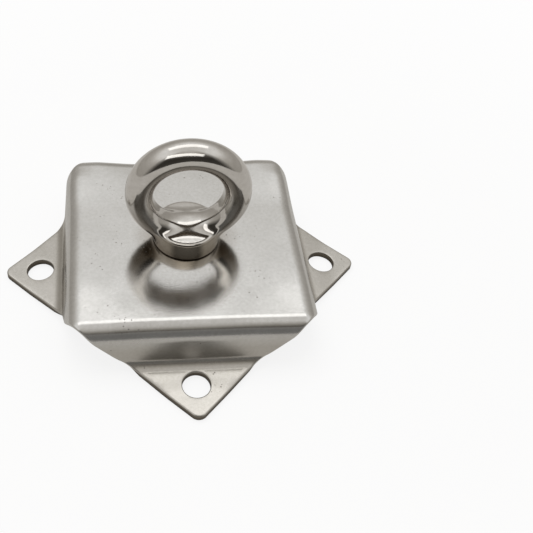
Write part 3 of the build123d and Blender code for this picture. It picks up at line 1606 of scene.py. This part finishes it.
@dataclass
class Fastening:
    """Flat washer, spring washer and hexagon nut that hold the eye from below.

    Attributes:
        material: Finish of all three.
        under_plate: Height of the platform's lower face.
        washer_outer: Outer diameter of the flat washer.
        washer_inner: Diameter of its hole.
        washer_thickness: Its thickness.
        spring_inner: Diameter of the spring washer's hole.
        spring_wire: Width of its wire.
        spring_thickness: Its thickness, drawn flat.
        spring_gap: Width of its slit.
        spring_slant: Lean of the slit in degrees.
        nut_flats: Width of the nut across its flats.
        nut_height: Its height.
        nut_bore: Diameter of its bore.
        nut_turns: Directions of its flats in degrees.
        nut_face_share: Diameter of its round face as a share of the width across flats.
        nut_corner_angle: Fall of the cones that turn its corners off in degrees.
        nut_lead_in: Depth of the cones at the ends of its bore.
        edge_round: Radius of the outer edges.
        fine_round: Reach of the finer roundings, at the slit, the cones and the bore.
        corner_round: Reach of the rounding of the nut's upright corners.
        step: Size of the net's faces.
    """

    material: bpy.types.Material
    under_plate: float = 20.5
    washer_outer: float = 24.0
    washer_inner: float = 13.0
    washer_thickness: float = 2.5
    spring_inner: float = 12.3
    spring_wire: float = 4.0
    spring_thickness: float = 2.5
    spring_gap: float = 1.2
    spring_slant: float = 25.0
    nut_flats: float = 19.0
    nut_height: float = 10.0
    nut_bore: float = 12.3
    nut_turns: tuple[float, float, float] = (30.0, 90.0, 150.0)
    nut_face_share: float = 0.95
    nut_corner_angle: float = 30.0
    nut_lead_in: float = 0.8
    edge_round: float = 0.35
    fine_round: float = 0.3
    corner_round: float = 0.5
    step: float = 0.45

    @property
    def under_washer(self) -> float:
        """Height of the flat washer's lower face."""
        return self.under_plate - self.washer_thickness

    @property
    def under_spring(self) -> float:
        """Height of the spring washer's lower face."""
        return self.under_washer - self.spring_thickness

    def washer(self, points: Points) -> np.ndarray:
        """Distance field of the flat washer.

        Args:
            points: Rows of x, y and z in millimetres.

        Returns:
            Distance to its surface.
        """
        x, y, z = points.T
        middle = self.under_plate - self.washer_thickness / 2
        radius = np.hypot(x, y)
        wall = np.maximum(radius - self.washer_outer / 2, self.washer_inner / 2 - radius)
        return soft_cut(wall, np.abs(z - middle) - self.washer_thickness / 2, 2 * self.edge_round)

    def spring(self, points: Points) -> np.ndarray:
        """Distance field of the split spring washer.

        Args:
            points: Rows of x, y and z in millimetres.

        Returns:
            Distance to its surface.
        """
        x, y, z = points.T
        middle = self.under_washer - self.spring_thickness / 2
        radius = np.hypot(x, y)
        inner = self.spring_inner / 2
        wall = np.maximum(radius - inner - self.spring_wire, inner - radius)
        body = soft_cut(wall, np.abs(z - middle) - self.spring_thickness / 2, 2 * self.edge_round)
        lean = math.radians(self.spring_slant)
        gap = self.spring_gap / 2 - np.abs(y * math.cos(lean) + (z - middle) * math.sin(lean))
        return np.where(x > 0, soft_cut(body, gap, self.fine_round), body)

    def nut(self, points: Points) -> np.ndarray:
        """Distance field of the hexagon nut.

        Args:
            points: Rows of x, y and z in millimetres.

        Returns:
            Distance to its surface.
        """
        x, y, z = points.T
        half = self.nut_flats / 2
        away = np.abs(z - (self.under_spring - self.nut_height / 2)) - self.nut_height / 2
        radius = np.hypot(x, y)
        turns = np.radians(self.nut_turns)
        first, second, third = (np.abs(x * math.cos(turn) + y * math.sin(turn)) - half for turn in turns)
        prism = soft_cut(soft_cut(first, second, self.corner_round), third, self.corner_round)
        fall = math.radians(self.nut_corner_angle)
        cone = (radius - half * self.nut_face_share) * math.sin(fall) + away * math.cos(fall)
        body = soft_cut(soft_cut(prism, away, 2 * self.edge_round), cone, self.fine_round)
        bore = self.nut_bore / 2 - radius
        mouth = (self.nut_bore / 2 + self.nut_lead_in - radius + away) / math.sqrt(2)
        return soft_cut(body, np.maximum(bore, mouth), self.fine_round)

    def build(self) -> list[bpy.types.Object]:
        """Makes and dresses the three pieces.

        Returns:
            The finished pieces.
        """
        finished = []
        wide = self.washer_outer / 2
        pieces = (
            ("flat_washer", self.washer, self.under_plate, self.under_washer),
            ("lock_washer", self.spring, self.under_washer, self.under_spring),
            ("hex_nut", self.nut, self.under_spring, self.under_spring - self.nut_height),
        )
        for node, shape, high, low in pieces:
            solid = FormedSolid(shape, (-wide, -wide, low), (wide, wide, high), self.step)
            piece = solid.build(node + "_looks")
            dress(piece, self.material, Slot.FASTENER, node)
            finished.append(piece)
        return finished


# The studio


@dataclass(frozen=True)
class PhotographView:
    """Camera that stands where the photograph was taken from.

    Attributes:
        place: The lens in millimetres in the part's frame.
        yaw: Turn to the right of +Y in degrees.
        pitch: Tilt above the horizon in degrees.
        roll: Turn about the line of sight in degrees.
        lens: Focal length in millimetres.
        sensor: Width of the sensor in millimetres.
        shift: Shift of the frame, as shares of its width.
    """

    place: Place = (-31.98, -236.13, 270.09)
    yaw: float = 9.948
    pitch: float = -50.698
    roll: float = 5.778
    lens: float = 51.37
    sensor: float = 36.0
    shift: tuple[float, float] = (0.1248, 0.0629)

    def build(self) -> None:
        """Makes the camera and looks through it."""
        yaw, pitch, roll = (math.radians(a) for a in (self.yaw, self.pitch, self.roll))
        forward = Vector((math.sin(yaw) * math.cos(pitch), math.cos(yaw) * math.cos(pitch), math.sin(pitch)))
        level = Vector((math.cos(yaw), -math.sin(yaw), 0.0))
        upward = level.cross(forward)
        right = level * math.cos(roll) + upward * math.sin(roll)
        top = upward * math.cos(roll) - level * math.sin(roll)
        data = bpy.data.cameras.new("photograph_view")
        data.sensor_width = self.sensor
        data.lens = self.lens
        data.shift_x, data.shift_y = self.shift
        data.dof.use_dof = False
        camera = bpy.data.objects.new("photograph_view", data)
        axes = Matrix((right, top, -forward)).transposed().to_4x4()
        camera.matrix_world = Matrix.Translation(Vector(self.place) * MM) @ axes
        bpy.context.scene.collection.objects.link(camera)
        bpy.context.scene.camera = camera


@dataclass(frozen=True)
class SoftLamp:
    """Soft box that looks at the object.

    Attributes:
        name: Name of the lamp.
        place: Its place in metres.
        width: Its width in metres.
        depth: Its depth in metres.
        glow: Brightness of its face, 1 for white.
        lit: Key of the pieces that it lights.
    """

    name: str
    place: Place
    width: float
    depth: float
    glow: float
    lit: str

    def build(self, pieces: dict[str, list[bpy.types.Object]]) -> bpy.types.Object:
        """Makes the lamp and gives it the pieces that it lights.

        Args:
            pieces: Pieces of the scene by key.

        Returns:
            The lamp.
        """
        data = bpy.data.lights.new(self.name, "AREA")
        data.shape = "RECTANGLE"
        data.size = self.width
        data.size_y = self.depth
        data.energy = self.glow * math.pi * self.width * self.depth
        lamp = bpy.data.objects.new(self.name, data)
        lamp.location = self.place
        lamp.rotation_euler = (-Vector(self.place)).to_track_quat("-Z", "Y").to_euler()
        bpy.context.scene.collection.objects.link(lamp)
        group = bpy.data.collections.new(self.name + "_lights")
        for piece in pieces[self.lit]:
            group.objects.link(piece)
        lamp.light_linking.receiver_collection = group
        return lamp


def warm(level: float) -> Colour:
    """Tone of the room: neutral where it is bright and brownish where it is dark.

    Args:
        level: Brightness, 1 for white.

    Returns:
        The tone's colour.
    """
    lack = max(1 - level, 0.0)
    return (level, level * (1 - GREEN_LOSS * lack), level * (1 - BLUE_LOSS * lack))


@dataclass
class Studio:
    """Plain white floor in a soft room, darker on the camera's side.

    Attributes:
        floor_size: Side of the floor in metres.
        floor_white: Whiteness of the paper.
        floor_gap: Distance in millimetres that the floor lies under the mounting surface.
        shadow_share: Share of the floor's look that takes light and shadow.
        shadow_fade: Distances from the object in millimetres between which that share runs out.
        mirrored: Brightness of the paper as metal mirrors it.
        contact_shadow: Painted shadow: brightness of the paper beside and under the object, as metal mirrors
            it.
        contact_shadow_reach: Width of that painted shadow in millimetres.
        contact_shadow_range: Openness of a place between which that painted shadow fades out.
        back: Height above the horizon as a sine, and brightness of the room there, at the back and sides.
        front: The same on the camera's side.
        front_range: Share of +Y in a level direction where the camera's side begins and is reached.
        least_level: Least square that a direction's level length is worked out from.
        lamps: Soft boxes.
    """

    floor_size: float = 6.0
    floor_white: float = 0.90
    floor_gap: float = 0.05
    shadow_share: float = 0.15
    shadow_fade: Range = (160.0, 500.0)
    mirrored: float = 0.60
    contact_shadow: float = 0.12
    contact_shadow_reach: float = 6.0
    contact_shadow_range: Range = (0.45, 1.0)
    back: tuple[tuple[float, float], ...] = (
        (0.0, 0.42),
        (0.3, 0.45),
        (0.5, 0.56),
        (0.64, 0.78),
        (0.7, 0.90),
        (0.78, 0.97),
        (0.88, 0.92),
        (1.0, 0.75),
    )
    front: tuple[tuple[float, float], ...] = (
        (0.0, 0.06),
        (0.25, 0.045),
        (0.5, 0.04),
        (0.7, 0.12),
        (0.82, 0.34),
        (0.9, 0.55),
        (1.0, 0.75),
    )
    front_range: Range = (-0.50, -0.80)
    least_level: float = 1e-4
    lamps: tuple[SoftLamp, ...] = (
        SoftLamp("back_strip", (0.0, 0.45, 1.0), 1.1, 0.36, 0.75, "metal"),
        SoftLamp("front_strip", (-0.10, -0.56, 0.84), 1.0, 0.30, 1.3, "eye"),
        SoftLamp("front_fill", (0.0, -1.2, 0.45), 2.6, 1.0, 0.16, "plate"),
        SoftLamp("floor_light", (-0.3, 0.5, 1.6), 1.2, 1.2, 2.4, "floor"),
    )

    def paper(self) -> bpy.types.Material:
        """Makes the floor's paper, white to the camera and dimmer as metal mirrors it, with a painted shadow
        beside and under the object in that mirrored look.

        Returns:
            The material, which still takes a share of the object's shadow.
        """
        material, sheet = new_material("white_floor")
        lit = sheet.add("ShaderNodeBsdfDiffuse")
        lit.inputs["Color"].default_value = (self.floor_white, self.floor_white, self.floor_white, 1.0)
        white = sheet.add("ShaderNodeEmission")
        pale = sheet.add("ShaderNodeEmission")
        # Painted shadow: the paper that metal mirrors darkens where occlusion rays find the object near
        open_share = sheet.spread(sheet.openness(self.contact_shadow_reach), self.contact_shadow_range)
        sheet.feed(pale.inputs["Color"], sheet.blend(open_share, warm(self.contact_shadow), warm(self.mirrored)))

        away = sheet.add("ShaderNodeVectorMath", operation="LENGTH")
        sheet.feed(away.inputs[0], sheet.add("ShaderNodeTexCoord").outputs["Object"])
        near, far = self.shadow_fade
        shade = sheet.spread(away.outputs["Value"], (near * MM, far * MM), (self.shadow_share, 0.0))
        ray = sheet.add("ShaderNodeLightPath").outputs
        seen = sheet.times(ray["Is Camera Ray"], sheet.minus(1.0, shade))
        mirrored = sheet.math("MAXIMUM", ray["Is Glossy Ray"], ray["Is Transmission Ray"])
        look = sheet.cover(seen, lit.outputs[0], white.outputs[0])
        look = sheet.cover(mirrored, look, pale.outputs[0])
        sheet.feed(sheet.add("ShaderNodeOutputMaterial").inputs["Surface"], look)
        return material

    def floor(self) -> bpy.types.Object:
        """Makes the floor.

        Returns:
            The floor, dressed in its paper.
        """
        half = self.floor_size / 2 / MM
        low = -self.floor_gap
        corners = np.array([(-half, -half, low), (half, -half, low), (half, half, low), (-half, half, low)])
        floor = add_mesh("floor", corners, [(0, 1, 2, 3)])
        floor.data.materials.append(self.paper())
        return floor

    def world(self) -> None:
        """Makes the room: white to the camera, pale and soft to the metal, darker in front."""
        world = bpy.data.worlds.new("soft_room")
        world.use_nodes = True
        world.node_tree.nodes.clear()
        sheet = NodeSheet(world.node_tree)
        _, y, z = sheet.split(sheet.add("ShaderNodeTexCoord").outputs["Generated"])
        back = sheet.ramp(z, [(place, warm(level)) for place, level in self.back])
        front = sheet.ramp(z, [(place, warm(level)) for place, level in self.front])
        square = sheet.math("MAXIMUM", sheet.minus(1.0, sheet.math("POWER", z, 2.0)), self.least_level)
        share = sheet.spread(sheet.over(y, sheet.math("SQRT", square)), self.front_range)
        colour = sheet.blend(share, back, front)
        colour = sheet.blend(sheet.add("ShaderNodeLightPath").outputs["Is Camera Ray"], colour, WHITE)
        glow = sheet.add("ShaderNodeBackground")
        sheet.feed(glow.inputs["Color"], colour)
        sheet.feed(sheet.add("ShaderNodeOutputWorld").inputs["Surface"], glow.outputs[0])
        bpy.context.scene.world = world

    def build(self, pieces: dict[str, list[bpy.types.Object]]) -> None:
        """Makes the floor, the room and the lamps.

        Args:
            pieces: Pieces of the object by key, for the lamps to light.
        """
        self.world()
        floor = self.floor()
        lit = {**pieces, "floor": [floor]}
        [lamp.build(lit) for lamp in self.lamps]
        bpy.context.scene.view_settings.view_transform = "Standard"


def main() -> None:
    """Builds the pieces in order, then the studio."""
    logging.basicConfig(level=logging.INFO, format="%(name)s: %(message)s")
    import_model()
    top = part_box("plate")[1].z / MM
    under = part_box("flat_washer")[1].z / MM

    plate = PressedPlate(SATIN_PLATE.build(), height=top).build()
    eye = LiftingEye(POLISHED_EYE.build(), seat=top).build()
    fastening = Fastening(FASTENER.build(), under_plate=under).build()
    Studio().build({"metal": [plate, *eye, *fastening], "plate": [plate], "eye": eye})
    PhotographView().build()


if __name__ == "__main__":
    main()
